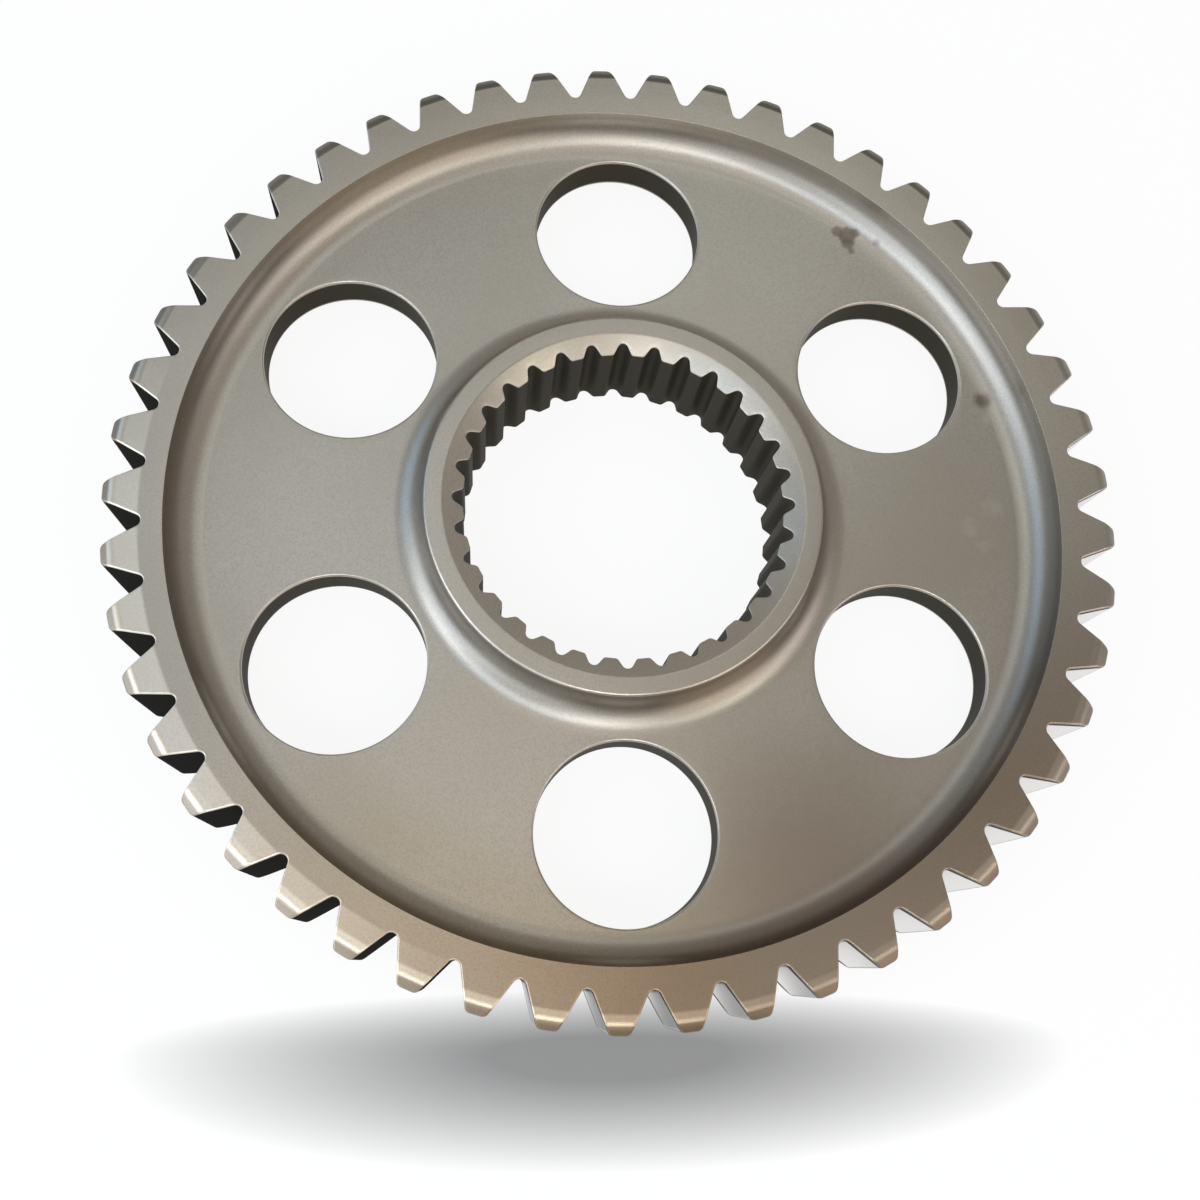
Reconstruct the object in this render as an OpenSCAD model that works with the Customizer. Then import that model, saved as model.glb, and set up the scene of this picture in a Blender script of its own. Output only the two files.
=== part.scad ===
// Driven sprocket for an inverted-tooth (silent) chain, one steel piece: a toothed rim,
// a thin dished web with six lightening holes, and a hub with an internal involute spline.
// Lengths are in millimetres and angles in degrees. The sprocket lies flat on its back face,
// with the bore along Z and the middle of its width at the origin.

/* [Chain and teeth] */
// Pitch of the chain
chain_pitch = 9.525; // [8.5:0.005:10.5]
// Number of chain teeth
teeth = 49; // [44:1:54]
// How far the tooth tips lie inside the pitch circle
tip_drop = 0.6; // [0:0.05:1.5]
// Radial height of a tooth, from the bottom of a gap to the tip
tooth_h = 5.65; // [4.5:0.05:6]
// Width of a tooth across its tip, measured between the flanks before rounding
tip_land = 2.7; // [2.2:0.05:3.2]
// Angle of a flank to the centre line of its tooth
flank_angle = 23; // [19:0.5:26]
// Radius that rounds each tip corner
tip_corner_r = 0.8; // [0.3:0.05:1]
// Radial width of the round turn from the rim faces down to the tips
tip_turn_w = 2.4; // [1:0.1:3]
// Radius of that turn
tip_turn_r = 3.6; // [3.2:0.1:6]
// Angle of the first tooth from the X axis
tooth_phase = 4.15; // [0:0.05:7.3]

/* [Rim] */
// Width of the sprocket over the rim faces
face_w = 17.3; // [14:0.1:24]
// Solid ring between the tooth gaps and the recess
rim_wall = 3; // [2:0.1:6]

/* [Web] */
// Thickness of the web
web_t = 5.8; // [4:0.1:7]
// Radius of the fillet between web and rim
rim_fillet = 4.5; // [2:0.1:5]
// Radius of the fillet between web and hub
hub_fillet = 4.8; // [2:0.1:5.5]

/* [Lightening holes] */
// Number of holes
holes = 6; // [3:1:6]
// Diameter of a hole
hole_d = 25.8; // [12:0.2:26]
// How far the hole circle lies outside the middle of the recess
hole_shift = 0.15; // [-2:0.05:2]
// Angle of the first hole from the X axis
hole_phase = 30; // [0:1:60]
// Width of the broken edge round each hole
hole_break = 0.3; // [0.1:0.05:0.8]

/* [Hub] */
// Outer diameter of the hub
hub_d = 58.4; // [56:0.2:66]
// How far each hub face stands above the rim faces
hub_proud = 0; // [0:0.1:6]
// Diameter at which the lead-in chamfer meets the hub face
lead_in_d = 53; // [50.6:0.2:54]
// Depth of the lead-in chamfer along the axis
lead_in_h = 1.4; // [0.5:0.1:3]

/* [Spline] */
// Number of spline teeth
spline_teeth = 32; // [30:1:32]
// Module of the spline, its pitch diameter divided by its teeth
spline_module = 1.5; // [1.4:0.01:1.52]
// Pressure angle
spline_pressure = 30; // [25:1:32]
// Width of a groove at the pitch circle
groove_w = 2.2; // [1.9:0.05:2.4]
// How far the spline tooth tips lie inside the pitch circle
spline_tip_depth = 0.5; // [0.2:0.05:0.8]
// How far the involute flanks reach outside the pitch circle
spline_form_depth = 0.7; // [0.4:0.05:0.8]
// Radius that rounds the corners of the spline tooth tips
spline_corner_r = 0.6; // [0.1:0.05:0.7]
// Angle of the first groove from the X axis
spline_phase = 0; // [0:0.25:12]

/* [Hidden] */

// Overlap that a cutting solid has past the face that it cuts
past = 1;
// How far a corner's arc stands proud of the two faces that it joins, so that it crosses both
corner_proud = 0.02;
// Straight steps that follow each involute flank
flank_steps = 3;
$fn = 180;

// Radii of the rim, from the chain
pitch_r = chain_pitch / sin(180 / teeth) / 2;
tip_r = pitch_r - tip_drop;
root_r = tip_r - tooth_h;
recess_r = root_r - rim_wall;
half_pitch_a = 180 / teeth;

// Heights over the middle plane
face_z = face_w / 2;
hub_z = face_z + hub_proud;
web_z = web_t / 2;
cut_h = 2 * (hub_z + past);

// Radii of the hub and its spline
hub_r = hub_d / 2;
lead_in_r = lead_in_d / 2;
spline_pitch_r = spline_module * spline_teeth / 2;
spline_base_r = spline_pitch_r * cos(spline_pressure);
spline_tip_r = spline_pitch_r - spline_tip_depth;
spline_form_r = spline_pitch_r + spline_form_depth;

// The holes stand between the hub and the rim
hole_circle_r = (hub_r + recess_r) / 2 + hole_shift;

// A gap between two chain teeth points along Y. Its right flank leans by this angle.
gap_lean = half_pitch_a + flank_angle;
// Unit vectors along that flank, outwards, and square to it, into the tooth
gap_along = [sin(gap_lean), cos(gap_lean)];
gap_into = [cos(gap_lean), -sin(gap_lean)];
// How far the flanks of a tooth stand from the bore's axis, square to the flank
flank_reach = tip_land / 2 * cos(flank_angle) + tip_r * sin(flank_angle);
// Radius of the round gap bottom, which touches both flanks and the root circle
gap_r = (root_r * sin(gap_lean) - flank_reach) / (1 - sin(gap_lean));
gap_centre = [0, root_r + gap_r];

// Point at radius r and at angle a, measured from the Y axis towards X
function polar_y(r, a) = [r * sin(a), r * cos(a)];

// Mirrors a row of points in the Y axis and reverses it
function mirrored(row) = [for (i = [len(row) - 1:-1:0]) [-row[i].x, row[i].y]];

// Pressure angle of the spline's involute at radius r
function pressure_at(r) = acos(spline_base_r / r);

// Involute function in radians, of an angle in degrees
function involute(a) = tan(a) - a * PI / 180;

// Half of a groove's angle at radius r: the groove narrows outwards along the involute
function groove_half_a(r) =
    (groove_w / 2 / spline_pitch_r + involute(spline_pressure) - involute(pressure_at(r)))
    * 180 / PI;

// Lean of the groove's flank at radius r, to the middle line of the groove
function groove_lean(r) = pressure_at(r) - groove_half_a(r);

// The round bottom of a groove touches both involutes where they end, at the form circle
bottom_lean = groove_lean(spline_form_r);
bottom_r = spline_form_r * sin(groove_half_a(spline_form_r)) / cos(bottom_lean);
bottom_centre = [0, spline_base_r / cos(bottom_lean)];

// Point where a line from point p touches the left side of a groove's round bottom
function bottom_touch(p) =
    let (
        to_p = p - bottom_centre,
        reach = norm(to_p),
        a = atan2(to_p.y, to_p.x) - acos(bottom_r / reach)
    )
    bottom_centre + bottom_r * [cos(a), sin(a)];

// Left half of a groove that points along Y: it starts inside the bore, follows the involute
// in straight steps and ends on the round bottom.
function half_groove() =
    let (
        reach = spline_form_r - spline_tip_r,
        flank = [for (i = [0:flank_steps - 1])
            let (r = spline_tip_r + reach * i / flank_steps) polar_y(r, -groove_half_a(r))]
    )
    concat([flank[0] - [0, past]], flank, [bottom_touch(flank[flank_steps - 1])]);

// What is cut off a corner to round it. The corner's arc has radius r about the centre, and
// the two directions point from there square to the faces that the arc joins.
module corner_cut(centre, r, one_way, other_way) {
    difference() {
        translate(centre)
            polygon([[0, 0], 2 * r * one_way, 2 * r * (one_way + other_way), 2 * r * other_way]);
        translate(centre) circle(r);
    }
}

// Cut that rounds the tip corner on the right of a gap that points along Y
module tip_corner_cut() {
    inside = tip_corner_r - corner_proud;
    across = gap_r - gap_centre.y * sin(gap_lean) + inside;
    along = sqrt(pow(tip_r - inside, 2) - pow(across, 2));
    centre = across * gap_into + along * gap_along;
    corner_cut(centre, tip_corner_r, -gap_into, centre / norm(centre));
}

// One gap between two chain teeth, pointing along Y, with the tip corners beside it
module gap() {
    touch = gap_centre + gap_r * gap_into;
    outside = touch + 2 * tooth_h * gap_along;
    polygon([gap_centre, touch, outside, [-outside.x, outside.y], [-touch.x, touch.y]]);
    translate(gap_centre) circle(gap_r);
    tip_corner_cut();
    mirror([1, 0]) tip_corner_cut();
}

// Outline of the rim with all its teeth
module toothed_disc() {
    difference() {
        circle(tip_r);
        for (k = [0:teeth - 1])
            rotate(tooth_phase - 90 + (k + 0.5) * 360 / teeth) gap();
    }
}

// Cut that rounds the corner of a spline tooth's tip, on the left of a groove along Y
module spline_corner_cut() {
    // the arc's centre lies on the involute that runs this much deeper in the steel
    inside = spline_corner_r - corner_proud;
    centre_r = spline_tip_r + inside;
    centre_a = groove_half_a(centre_r) + inside / spline_base_r * 180 / PI;
    lean = pressure_at(centre_r) - centre_a;
    centre = polar_y(centre_r, -centre_a);
    corner_cut(centre, spline_corner_r, [cos(lean), -sin(lean)], -centre / norm(centre));
}

// One groove of the spline, pointing along Y, with the tooth corners beside it
module groove() {
    half = half_groove();
    polygon(concat(half, [bottom_centre], mirrored(half)));
    translate(bottom_centre) circle(bottom_r);
    spline_corner_cut();
    mirror([1, 0]) spline_corner_cut();
}

// Square corner filled by an arc of radius r, for a fillet. The corner stands at the origin
// and the fillet lies towards +X and +Y.
module fillet_corner(r) {
    difference() {
        square(r);
        translate([r, r]) circle(r);
    }
}

// Recess on one side, between hub and rim, seen in the half section. It keeps its fillets.
module recess_section() {
    difference() {
        translate([hub_r, web_z]) square([recess_r - hub_r, hub_z - web_z + past]);
        translate([hub_r, web_z]) fillet_corner(hub_fillet);
        translate([recess_r, web_z]) mirror([1, 0]) fillet_corner(rim_fillet);
    }
}

// What is turned off above the tooth tips, seen in the half section: all that lies outside an
// arc that leaves the rim face at a tangent
module tip_turn_section() {
    centre = [tip_r - tip_turn_w, face_z - tip_turn_r];
    difference() {
        translate(centre) square([tip_turn_w + past, hub_z + past - centre.y]);
        translate(centre) circle(tip_turn_r);
    }
}

// Everything that is turned off one side of the blank, seen in the half section
module turned_off() {
    recess_section();
    // lead-in chamfer of the bore
    polygon([
        [spline_tip_r - past, hub_z - lead_in_h],
        [spline_tip_r, hub_z - lead_in_h],
        [lead_in_r, hub_z],
        [lead_in_r, hub_z + past],
        [spline_tip_r - past, hub_z + past]
    ]);
    tip_turn_section();
    // the rim faces lie lower than the hub faces where the hub stands proud
    if (hub_proud > 0)
        translate([recess_r - past, face_z]) square([tip_r - recess_r + 2 * past, hub_proud + past]);
}

// Half section of the turned blank
module blank_section() {
    difference() {
        translate([spline_tip_r, -hub_z]) square([tip_r + past - spline_tip_r, 2 * hub_z]);
        turned_off();
        mirror([0, 1]) turned_off();
    }
}

// Blank with the chain teeth cut round its rim
module toothed_blank() {
    intersection() {
        rotate_extrude() blank_section();
        translate([0, 0, -cut_h / 2]) linear_extrude(cut_h) toothed_disc();
    }
}

// The grooves of the internal spline
module spline_grooves() {
    translate([0, 0, -cut_h / 2])
        linear_extrude(cut_h)
            for (k = [0:spline_teeth - 1])
                rotate(spline_phase - 90 + k * 360 / spline_teeth) groove();
}

// One lightening hole with its broken edges
module lightening_hole() {
    cylinder(h = web_t + 2 * past, d = hole_d, center = true);
    for (side = [0, 1])
        mirror([0, 0, side])
            translate([0, 0, web_z - hole_break])
                cylinder(h = 2 * hole_break, r1 = hole_d / 2, r2 = hole_d / 2 + 2 * hole_break);
}

// The whole sprocket
module sprocket() {
    color("darkgray")
    difference() {
        toothed_blank();
        spline_grooves();
        for (k = [0:holes - 1])
            rotate(hole_phase + k * 360 / holes)
                translate([hole_circle_r, 0, 0])
                    lightening_hole();
    }
}

sprocket();
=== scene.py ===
"""Looks of a driven sprocket for a silent chain: a toothed rim, a dished web and a splined hub.

The part is one piece of steel. It lies flat on its back face, with the bore along Z and the middle
of its width at the origin. Sizes of its shape are in millimetres, and its points are turned into
metres when the mesh is made. Sizes of its finish, of the camera and of the lamps are in metres.
"""

import logging
import math
from dataclasses import dataclass
from enum import Enum

import bpy
import numpy as np
from mathutils import Matrix, Vector


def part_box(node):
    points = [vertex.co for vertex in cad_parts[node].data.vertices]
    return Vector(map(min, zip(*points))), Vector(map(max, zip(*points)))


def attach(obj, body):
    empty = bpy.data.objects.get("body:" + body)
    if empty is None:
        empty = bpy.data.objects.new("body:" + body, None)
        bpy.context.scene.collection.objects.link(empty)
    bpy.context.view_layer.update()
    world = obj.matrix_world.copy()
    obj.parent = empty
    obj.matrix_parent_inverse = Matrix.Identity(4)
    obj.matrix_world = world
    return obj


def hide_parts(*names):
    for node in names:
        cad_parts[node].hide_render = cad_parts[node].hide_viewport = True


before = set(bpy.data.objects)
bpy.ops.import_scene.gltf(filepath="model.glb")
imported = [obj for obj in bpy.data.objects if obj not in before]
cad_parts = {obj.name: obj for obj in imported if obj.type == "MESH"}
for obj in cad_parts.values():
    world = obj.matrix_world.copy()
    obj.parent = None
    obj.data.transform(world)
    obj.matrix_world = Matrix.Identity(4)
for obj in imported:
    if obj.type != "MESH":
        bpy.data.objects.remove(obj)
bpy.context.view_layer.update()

log = logging.getLogger("sprocket")

MM = 0.001
NODE = "sprocket"
BODY = "root"
# Side of the photograph's frame, in its own pixels
PHOTO_SIDE = 1200
# Power that turns a picture value into linear brightness
GAMMA = 2.2

Array = np.ndarray
Colour = tuple[float, float, float]
Place = tuple[float, float, float]
Node = bpy.types.Node
Socket = bpy.types.NodeSocket


class Zone(Enum):
    """Named float attributes that tell the material what kind of surface a point lies on.

    EDGE is 1 on broken edges and on the lead-in chamfer, which get a painted highlight. WALL is 1 on walls,
    and rises from 1 on the flanks that the chain polishes to 2 on the others, which get painted shade. WORN
    is 1 on the polished flanks.
    """

    EDGE = "edge"
    WALL = "wall"
    WORN = "worn"


Marks = dict[Zone, Array | float]


def polar(radius: Array | float, turn: Array | float) -> Array:
    """Points at a radius and at a turn from the X axis, in radians anticlockwise, as x + iy."""
    return np.asarray(radius) * np.exp(1j * np.asarray(turn))


def unit(points: Array) -> Array:
    """Complex numbers scaled to length 1."""
    return points / np.abs(points)


def arc(start: float, end: float, steps: int) -> Array:
    """Evenly spaced angles from start to end, both included, in steps intervals."""
    return np.linspace(start, end, steps + 1)


@dataclass
class Ring:
    """A closed row of mesh points.

    Args:
        index: Numbers of its points in the shell, anticlockwise seen from the front.
        turn: Angle of each point about the ring's middle, rising from the first point.
    """

    index: Array
    turn: Array


@dataclass
class Outline:
    """A closed outline in plan, with the direction that points out of the steel at each of its points.

    Args:
        points: Its points as complex numbers, anticlockwise.
        normals: Unit vectors out of the steel, as complex numbers.
    """

    points: Array
    normals: Array

    def inset(self, depth: float) -> Array:
        """The outline moved into the steel by a depth along its normals."""
        return self.points - depth * self.normals

    def repeated(self, count: int, phase: float) -> "Outline":
        """Copies of the outline turned evenly about the axis, joined into one and started near angle 0.

        Args:
            count: Number of copies.
            phase: Angle of the first copy, in radians.

        Returns:
            The whole outline, anticlockwise.
        """
        turns = np.exp(1j * (phase + 2 * np.pi * np.arange(count) / count))[:, None]
        points = (turns * self.points).ravel()
        normals = (turns * self.normals).ravel()
        first = int(np.argmin(np.abs(np.angle(points))))
        return Outline(np.roll(points, -first), np.roll(normals, -first))


class Shell:
    """Points and faces of one closed surface. It holds the front half until mirror() adds the back half."""

    def __init__(self) -> None:
        """Starts with no points."""
        self.parts: list[Array] = []
        self.zones: dict[Zone, list[Array]] = {zone: [] for zone in Zone}
        self.quads: list[Array] = []
        self.tris: list[Array] = []
        self.count = 0

    def add(self, plan: Array, height: Array | float, marks: Marks | None = None) -> Array:
        """Adds points.

        Args:
            plan: Their places in plan, as complex numbers in millimetres, in any shape.
            height: Their height over the middle plane in millimetres.
            marks: Values of the zone attributes on them, where they aren't 0.

        Returns:
            The numbers of the points, in the shape of plan.
        """
        xyz = np.stack([plan.real, plan.imag, np.broadcast_to(height, plan.shape)], -1)
        self.parts.append(xyz.reshape(-1, 3))
        for zone in Zone:
            value = np.broadcast_to((marks or {}).get(zone, 0), plan.shape)
            self.zones[zone].append(value.astype(np.float32).ravel())
        index = self.count + np.arange(plan.size).reshape(plan.shape)
        self.count += plan.size
        return index

    def circle(self, radius: float, height: float, count: int, marks: Marks | None = None) -> Ring:
        """Adds a round ring of evenly spaced points that starts at angle 0."""
        turn = 2 * np.pi * np.arange(count) / count
        return Ring(self.add(polar(radius, turn), height, marks), turn)

    def row(self, plan: Array, height: Array | float, marks: Marks | None = None) -> Ring:
        """Adds a ring through the given points, whose angles are measured about the axis."""
        return Ring(self.add(plan, height, marks), np.unwrap(np.angle(plan)))

    def extend(self, last: Ring, plan: Array, height: Array, marks: Marks | None = None) -> Ring:
        """Adds a ring through the given points and joins it to the last one.

        Args:
            last: The ring before it.
            plan: Places of its points, as many as the last ring has.
            height: Their height over the middle plane.
            marks: Values of the zone attributes on them, where they aren't 0.

        Returns:
            The new ring.
        """
        ring = self.row(plan, height, marks)
        self.join(last.index, ring.index)
        return ring

    def plan(self) -> Array:
        """Places in plan of all points so far."""
        places = np.concatenate(self.parts)
        return places[:, 0] + 1j * places[:, 1]

    def join(self, inner: Array, outer: Array) -> None:
        """Lays a band of quads between two equal rows of point numbers, closed round their last axis."""
        # It faces the front where it widens towards outer, and away from the rings' middle where it drops
        following = (np.roll(inner, -1, -1), np.roll(outer, -1, -1))
        self.quads.append(np.stack([inner, outer, following[1], following[0]], -1).reshape(-1, 4))

    def zip(self, inner: Ring, outer: Ring) -> None:
        """Lays a band of triangles between two rings that have different numbers of points.

        The edges of both rings are sorted by the angle of their middles. Each edge makes a triangle
        with the point that the other ring has reached by then, which is the count of its edges so far.

        Args:
            inner: The ring nearer to the axis.
            outer: The ring outside it.
        """
        def edge_middles(ring: Ring) -> Array:
            """Angles of the middles of a ring's edges."""
            closed = np.append(ring.turn, ring.turn[0] + 2 * np.pi)
            return (closed[1:] + closed[:-1]) / 2

        n, m = len(inner.index), len(outer.index)
        order = np.argsort(np.concatenate([edge_middles(inner), edge_middles(outer)]), kind="stable")
        is_inner = order < n
        i = (np.cumsum(is_inner) - is_inner) % n
        j = (np.cumsum(~is_inner) - ~is_inner) % m
        a, b = inner.index, outer.index
        i_edge, j_edge = (i[is_inner], j[is_inner]), (i[~is_inner], j[~is_inner])
        self.tris.append(np.stack([a[i_edge[0]], b[i_edge[1]], a[(i_edge[0] + 1) % n]], -1))
        self.tris.append(np.stack([b[j_edge[1]], b[(j_edge[1] + 1) % m], a[j_edge[0]]], -1))

    def profile(self, section: list[tuple[float, float, float]], last: Ring) -> Ring:
        """Turns a section about the axis, from the middle outwards, and joins it to a ring.

        Args:
            section: Radius, height and edge value of each point of the section.
            last: The round ring before the section.

        Returns:
            The section's last ring.
        """
        for radius, height, edge in section:
            ring = self.circle(radius, height, len(last.index), {Zone.EDGE: edge})
            self.join(last.index, ring.index)
            last = ring
        return last

    def mirror(self) -> int:
        """Adds the back half, which is the front half mirrored in the middle plane.

        Returns:
            The number to add to a front point's number to get that of its mirror image.
        """
        shift = self.count
        self.parts += [part * (1, 1, -1) for part in self.parts]
        self.quads += [quad[:, ::-1] + shift for quad in self.quads]
        self.tris += [tri[:, ::-1] + shift for tri in self.tris]
        for zone in Zone:
            self.zones[zone] += list(self.zones[zone])
        self.count *= 2
        return shift

    def mesh(self, name: str) -> bpy.types.Mesh:
        """Makes the Blender mesh, with smooth shading and its zones as point attributes.

        Args:
            name: Name of the mesh.

        Returns:
            The mesh, in metres.
        """
        xyz = np.concatenate(self.parts) * MM
        quads, tris = np.concatenate(self.quads), np.concatenate(self.tris)
        mesh = bpy.data.meshes.new(name)
        mesh.vertices.add(len(xyz))
        mesh.vertices.foreach_set("co", xyz.astype(np.float32).ravel())
        corners = np.concatenate([quads.ravel(), tris.ravel()])
        mesh.loops.add(len(corners))
        mesh.loops.foreach_set("vertex_index", corners.astype(np.int32))
        starts = np.concatenate([4 * np.arange(len(quads)), quads.size + 3 * np.arange(len(tris))])
        mesh.polygons.add(len(starts))
        mesh.polygons.foreach_set("loop_start", starts.astype(np.int32))
        mesh.update(calc_edges=True)
        mesh.polygons.foreach_set("use_smooth", np.ones(len(starts), bool))
        for zone in Zone:
            values = mesh.attributes.new(zone.value, "FLOAT", "POINT")
            values.data.foreach_set("value", np.concatenate(self.zones[zone]))
        mesh.normals_split_custom_set_from_vertices(self.normals(xyz, quads, tris))
        return mesh

    @staticmethod
    def normals(xyz: Array, quads: Array, tris: Array) -> Array:
        """Sum of the area vectors of the faces round each point, scaled to length 1.

        A quad's area vector is half the cross product of its diagonals, and a triangle's is half
        the cross product of two of its sides. A wide flat face so stays flat up to the small
        rounding beside it.

        Args:
            xyz: Places of the points.
            quads: Numbers of the points of each face with four corners.
            tris: Numbers of the points of each face with three.

        Returns:
            Unit normals, one for each point.
        """
        area_quads = np.cross(xyz[quads[:, 2]] - xyz[quads[:, 0]], xyz[quads[:, 3]] - xyz[quads[:, 1]])
        area_tris = np.cross(xyz[tris[:, 1]] - xyz[tris[:, 0]], xyz[tris[:, 2]] - xyz[tris[:, 0]])
        total = np.zeros_like(xyz)
        for faces, areas in ((quads, area_quads), (tris, area_tris)):
            for corner in range(faces.shape[1]):
                for axis in range(3):
                    total[:, axis] += np.bincount(faces[:, corner], areas[:, axis], len(xyz))
        return total / np.linalg.norm(total, axis=1, keepdims=True)


def rounding(radius: float, steps: int) -> list[tuple[float, float]]:
    """Insets r(1 - sin t) and drops r(1 - cos t) of a quarter circle, from a face to a wall."""
    t = arc(0, np.pi / 2, steps)
    return list(zip(radius * (1 - np.sin(t)), radius * (1 - np.cos(t))))


@dataclass(frozen=True)
class Faces:
    """Heights over the middle plane, in millimetres.

    Args:
        rim: Height of the rim faces and hub faces.
        web: Height of the web faces.
    """

    rim: float
    web: float = 2.9


def crease_drop(past: Array, slope: float, width: float) -> Array:
    """Drop of a face at distances past a crease, where it turns into a slope over twice the width."""
    # 0 before the crease, the slope times the distance after it, and a parabola that touches both
    soft = slope * (np.clip(past, -width, width) + width) ** 2 / (4 * width)
    return soft + slope * np.maximum(past - width, 0)


def whole_pitch(half: Outline) -> Outline:
    """Adds to half a pitch its mirror image in the X axis.

    Args:
        half: The half above the X axis, from that axis on.

    Returns:
        The outline of the whole pitch.
    """
    points = np.concatenate([half.points.conj()[::-1], half.points[1:-1]])
    normals = np.concatenate([half.normals.conj()[::-1], half.normals[1:-1]])
    return Outline(points, normals)


@dataclass
class ToothedRim:
    """The rim with its chain teeth, from the web outwards. Lengths are in millimetres.

    Args:
        faces: Heights of the flat faces.
        tip_r: Radius of the tooth tips.
        teeth: Number of chain teeth.
        tooth_h: Radial height of a tooth.
        tip_land: Width of a tooth across its tip before rounding.
        flank_angle: Angle of a flank to its tooth's middle line, in degrees.
        corner_r: Radius of the tip corners.
        phase: Angle of the first tooth, in degrees.
        wall: Solid ring between the tooth gaps and the recess.
        fillet: Radius of the fillet to the web.
        cone_slope: Drop of the tooth faces for each millimetre outwards.
        cone_soft: Half width of the round turn from the rim face into them.
        bevel_w: Radial width of the bevel on the tips.
        bevel_slope: Its further drop for each millimetre outwards.
        bevel_soft: Half width of the round turn from the tooth face into the bevel.
        edge: Radius of the broken edges of the teeth.
        recess_edge: Radius of the rounded edge of the recess.
        bevel_rows: Rows of points on the bevel, in half widths of its round turn from its start.
        sliver: Least width of a row of faces where a flank or a gap ends before the next row.
        rub_from: Sine of a flank's turn to the clockwise side at which the chain starts to rub it.
        rub_range: How much more of it gives the full polish.
        fillet_steps: Rows of faces along the fillet.
        count: Points round the recess.
    """

    faces: Faces
    tip_r: float
    teeth: int = 49
    tooth_h: float = 5.65
    tip_land: float = 2.7
    flank_angle: float = 23.0
    corner_r: float = 0.8
    phase: float = 4.15
    wall: float = 3.0
    fillet: float = 4.5
    cone_slope: float = 0.015
    cone_soft: float = 0.25
    bevel_w: float = 1.4
    bevel_slope: float = 0.6
    bevel_soft: float = 0.6
    edge: float = 0.2
    recess_edge: float = 0.06
    bevel_rows: tuple[float, ...] = (0, 0.6, 1.2, 2)
    sliver: float = 0.02
    rub_from: float = 0.6
    rub_range: float = 0.25
    fillet_steps: int = 12
    count: int = 432

    @property
    def recess_r(self) -> float:
        """Radius of the recess."""
        return self.tip_r - self.tooth_h - self.wall

    @property
    def web_edge_r(self) -> float:
        """Radius at which the fillet runs out into the web."""
        return self.recess_r - self.fillet

    @property
    def cone_r(self) -> float:
        """Radius at which the tooth faces start to drop, just outside the gaps."""
        return self.tip_r - self.tooth_h + self.edge

    @property
    def crease_r(self) -> float:
        """Radius at which the tooth faces start to turn into the bevel."""
        return self.tip_r - self.bevel_w - self.bevel_soft

    def half_tooth(self) -> Outline:
        """Outline from the middle of a tip to the middle of the gap after it, for a tooth along X.

        The flank is a straight line square to n, at the distance reach from the axis. The gap's
        bottom is an arc that touches both flanks, and the tip corner is an arc that touches the
        flank and the tip circle. The flank has points along the bevel, one at the crease, and one
        half way down from there.

        Returns:
            The outline, anticlockwise.
        """
        half_pitch = math.pi / self.teeth
        lean = math.radians(self.flank_angle)
        n = complex(math.sin(lean), math.cos(lean))
        reach = self.tip_land / 2 * math.cos(lean) + self.tip_r * math.sin(lean)
        root_r = self.tip_r - self.tooth_h
        gap_lean = math.sin(half_pitch + lean)
        gap_r = (root_r * gap_lean - reach) / (1 - gap_lean)
        gap_middle = polar(root_r + gap_r, half_pitch)
        inside = reach - self.corner_r
        corner_middle = n * (inside - 1j * math.sqrt((self.tip_r - self.corner_r) ** 2 - inside**2))
        tip_turn = float(np.angle(corner_middle))
        land = polar(self.tip_r, arc(0, tip_turn, 2))
        corner_way = polar(1, arc(tip_turn, math.pi / 2 - lean, 3)[1:])
        corner = corner_middle + self.corner_r * corner_way
        touch = gap_middle - gap_r * n
        crease = (abs(corner[-1]) - self.crease_r) / (abs(corner[-1]) - abs(touch))
        share = np.append(crease * np.array([0.33, 0.67, 1]), (1 + crease) / 2)
        flank = corner[-1] + (touch - corner[-1]) * share
        bottom_way = polar(1, arc(float(np.angle(-n)), half_pitch - math.pi, 4))
        points = np.concatenate([land, corner, flank, gap_middle + gap_r * bottom_way])
        normals = np.concatenate([unit(land), corner_way, np.full(len(flank), n), -bottom_way])
        return Outline(points, normals)

    def outline(self) -> Outline:
        """Outline of the whole rim."""
        return whole_pitch(self.half_tooth()).repeated(self.teeth, math.radians(self.phase))

    def face_height(self, radius: Array) -> Array:
        """Height of the rim's front face, with the lower tooth faces and their bevels.

        Args:
            radius: Distances from the axis.

        Returns:
            The height at each distance.
        """
        cone = crease_drop(radius - self.cone_r, self.cone_slope, self.cone_soft)
        past = radius - self.tip_r + self.bevel_w
        return self.faces.rim - cone - crease_drop(past, self.bevel_slope, self.bevel_soft)

    def build(self, shell: Shell) -> tuple[Ring, Ring]:
        """Adds the front half of the rim.

        Args:
            shell: Takes the points and faces.

        Returns:
            The ring where the fillet meets the web, and the last ring on the tooth flanks.
        """
        first = shell.circle(self.web_edge_r, self.faces.web, self.count)
        middle_z = self.faces.web + self.fillet
        section = [
            (self.web_edge_r + self.fillet * math.sin(t), middle_z - self.fillet * math.cos(t), 0)
            for t in arc(0, np.pi / 2, self.fillet_steps)[1:]
        ]
        edge = reversed(rounding(self.recess_edge, 3))
        section += [(self.recess_r + inset, self.faces.rim - drop, 0) for inset, drop in edge]
        return first, self.toothed_face(shell, shell.profile(section, first))

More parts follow.
